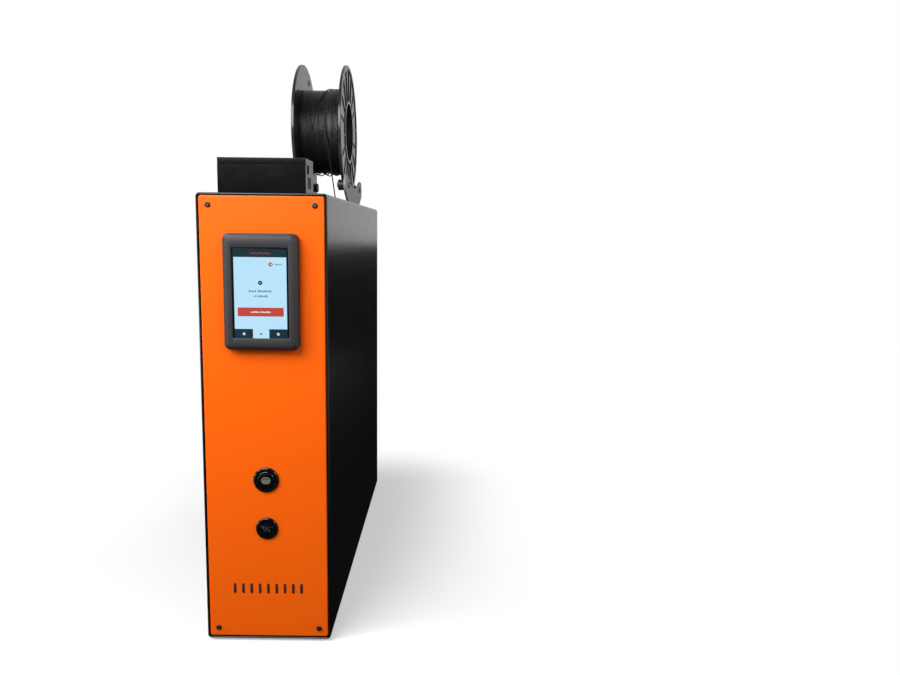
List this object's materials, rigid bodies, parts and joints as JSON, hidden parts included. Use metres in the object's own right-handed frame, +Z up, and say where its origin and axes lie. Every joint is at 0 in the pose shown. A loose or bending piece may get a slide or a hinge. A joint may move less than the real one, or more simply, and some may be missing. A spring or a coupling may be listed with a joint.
{
  "type": "filament dryer box",
  "caption": "Slim upright filament dryer with a touch screen and push buttons in front, a feeder on top and a spool turning on a roller cradle.",
  "frame": {"origin": "centre of the whole dryer's footprint, on the surface that it stands on", "axes": "+X to the right seen from the front, +Y from the front to the back, +Z up"},
  "size_m": [0.14, 0.59, 0.7178],
  "materials": {
    "powder_black": "black powder coat",
    "panel_orange": "satin orange powder coat",
    "cradle_grey": "satin grey powder coat",
    "zinc_steel": "zinc plated",
    "black_screw": "black oxide",
    "rubber_feet": "matt",
    "bezel_plastic": "fine texture",
    "display_glass": "lit display under glass",
    "board_green": "solder mask",
    "button_black": "polished black",
    "printed_black": "fine layer texture",
    "drum_plastic": "moulded",
    "aluminium": "milled",
    "foam": "needle felt insulation",
    "fan_black": "moulded",
    "cartridge_white": "moulded",
    "supply_steel": "galvanised",
    "switch_red": "moulded",
    "brass": "turned",
    "roller_black": "turned",
    "spool_black": "moulded, slight shine",
    "filament": "drawn black plastic"
  },
  "bodies": {
    "cabinet": {"casing": "powder_black", "front_frame": "powder_black", "front_panel": "panel_orange", "panel_screws": "black_screw", "rear_panel": "powder_black", "feet": "rubber_feet", "chassis_tray": "zinc_steel", "chamber_posts": "zinc_steel", "screen_bezel": "bezel_plastic", "screen_glass": "display_glass", "display_board": "board_green", "button_rings": "button_black", "button_nuts": "zinc_steel", "button_switches": "fan_black", "chamber_shell": "zinc_steel", "chamber_lid": "zinc_steel", "insulation": "foam", "drum_shafts": "zinc_steel", "heater_core": "aluminium", "blower_housing": "fan_black", "desiccant_cartridge": "cartridge_white", "power_supply": "supply_steel", "control_board": "board_green", "mains_inlet": "fan_black", "exhaust_fan_frame": "fan_black", "fan_guard": "zinc_steel", "interface_housing": "printed_black", "interface_lid": "printed_black", "interface_board": "board_green", "feeder_housing": "printed_black", "feeder_cover": "printed_black", "feeder_motor": "zinc_steel", "outlet_fitting": "fan_black", "inlet_gland": "fan_black", "cradle_plate_left": "cradle_grey", "cradle_plate_right": "cradle_grey", "cradle_screws": "black_screw", "roller_axles": "black_screw", "filament_strand": "filament"},
    "upper_button": {"upper_button_cap": "button_black"},
    "lower_button": {"lower_button_cap": "button_black"},
    "upper_rear_roll": {"upper_rear_drum": "drum_plastic"},
    "lower_rear_roll": {"lower_rear_drum": "drum_plastic"},
    "lower_front_roll": {"lower_front_drum": "drum_plastic"},
    "upper_front_roll": {"upper_front_drum": "drum_plastic"},
    "impeller": {"blower_impeller": "fan_black"},
    "rocker": {"rocker_switch": "switch_red"},
    "exhaust_rotor": {"exhaust_fan_rotor": "fan_black"},
    "drive": {"drive_shaft": "brass", "feed_knob": "fan_black"},
    "idler": {"idler_arm": "zinc_steel"},
    "idler_wheel": {"idler_bearing": "zinc_steel"},
    "roller_fl": {"front_left_roller": "roller_black"},
    "roller_fr": {"front_right_roller": "roller_black"},
    "roller_rl": {"rear_left_roller": "roller_black"},
    "roller_rr": {"rear_right_roller": "roller_black"},
    "spool": {"spool_flange_left": "spool_black", "spool_flange_right": "spool_black", "spool_core": "spool_black", "windings": "filament"}
  },
  "joints": [
    {"name": "spool_spin", "type": "hinge", "parent": "cabinet", "child": "spool", "pos_m": [0.005, 0.137, 0.61779], "axis": [1, 0, 0], "continuous": true},
    {"name": "front_left_roller_spin", "type": "hinge", "parent": "cabinet", "child": "roller_fl", "pos_m": [-0.0336, 0.069, 0.5335], "axis": [1, 0, 0], "continuous": true},
    {"name": "front_right_roller_spin", "type": "hinge", "parent": "cabinet", "child": "roller_fr", "pos_m": [0.0386, 0.069, 0.5335], "axis": [1, 0, 0], "continuous": true},
    {"name": "rear_left_roller_spin", "type": "hinge", "parent": "cabinet", "child": "roller_rl", "pos_m": [-0.0336, 0.205, 0.5335], "axis": [1, 0, 0], "continuous": true},
    {"name": "rear_right_roller_spin", "type": "hinge", "parent": "cabinet", "child": "roller_rr", "pos_m": [0.0386, 0.205, 0.5335], "axis": [1, 0, 0], "continuous": true},
    {"name": "upper_rear_drum_spin", "type": "hinge", "parent": "cabinet", "child": "upper_rear_roll", "pos_m": [0.0135, 0.054, 0.44], "axis": [1, 0, 0], "continuous": true},
    {"name": "lower_rear_drum_spin", "type": "hinge", "parent": "cabinet", "child": "lower_rear_roll", "pos_m": [0.0135, 0.054, 0.184], "axis": [1, 0, 0], "continuous": true},
    {"name": "lower_front_drum_spin", "type": "hinge", "parent": "cabinet", "child": "lower_front_roll", "pos_m": [0.0135, -0.1915, 0.184], "axis": [1, 0, 0], "continuous": true},
    {"name": "upper_front_drum_spin", "type": "hinge", "parent": "cabinet", "child": "upper_front_roll", "pos_m": [0.0135, -0.1915, 0.44], "axis": [1, 0, 0], "continuous": true},
    {"name": "drive_spin", "type": "hinge", "parent": "cabinet", "child": "drive", "pos_m": [0, -0.21102, 0.5135], "axis": [1, 0, 0], "continuous": true},
    {"name": "idler_swing", "type": "hinge", "parent": "cabinet", "child": "idler", "pos_m": [0.003, -0.22537, 0.5215], "axis": [-1, 0, 0], "range_deg": [0, 8], "stiffness_Nm_per_rad": 0.2, "springref_deg": -5.73},
    {"name": "idler_wheel_spin", "type": "hinge", "parent": "idler", "child": "idler_wheel", "pos_m": [0, -0.22137, 0.5135], "axis": [1, 0, 0], "continuous": true},
    {"name": "upper_button_press", "type": "slide", "parent": "cabinet", "child": "upper_button", "axis": [0, 1, 0], "range_m": [0, 0.002], "stiffness_N_per_m": 600, "springref_m": -0.003},
    {"name": "lower_button_press", "type": "slide", "parent": "cabinet", "child": "lower_button", "axis": [0, 1, 0], "range_m": [0, 0.002], "stiffness_N_per_m": 600, "springref_m": -0.003},
    {"name": "rocker_flip", "type": "hinge", "parent": "cabinet", "child": "rocker", "pos_m": [-0.028, 0.289, 0.086], "axis": [1, 0, 0], "range_deg": [0, 14]},
    {"name": "exhaust_fan_spin", "type": "hinge", "parent": "cabinet", "child": "exhaust_rotor", "pos_m": [0, 0.277, 0.42], "axis": [0, 1, 0], "continuous": true},
    {"name": "blower_spin", "type": "hinge", "parent": "cabinet", "child": "impeller", "pos_m": [0, 0.187, 0.285], "axis": [0, 1, 0], "continuous": true}
  ],
  "couplings": [
    {"joint": "front_left_roller_spin", "follows": "spool_spin", "ratio": -12.5},
    {"joint": "front_right_roller_spin", "follows": "spool_spin", "ratio": -12.5},
    {"joint": "rear_left_roller_spin", "follows": "spool_spin", "ratio": -12.5},
    {"joint": "rear_right_roller_spin", "follows": "spool_spin", "ratio": -12.5},
    {"joint": "upper_rear_drum_spin", "follows": "spool_spin", "ratio": -2.6},
    {"joint": "lower_rear_drum_spin", "follows": "spool_spin", "ratio": -2.6},
    {"joint": "lower_front_drum_spin", "follows": "spool_spin", "ratio": -2.6},
    {"joint": "upper_front_drum_spin", "follows": "spool_spin", "ratio": -2.6},
    {"joint": "drive_spin", "follows": "spool_spin", "ratio": -14.13},
    {"joint": "idler_wheel_spin", "follows": "spool_spin", "ratio": 16.25}
  ]
}
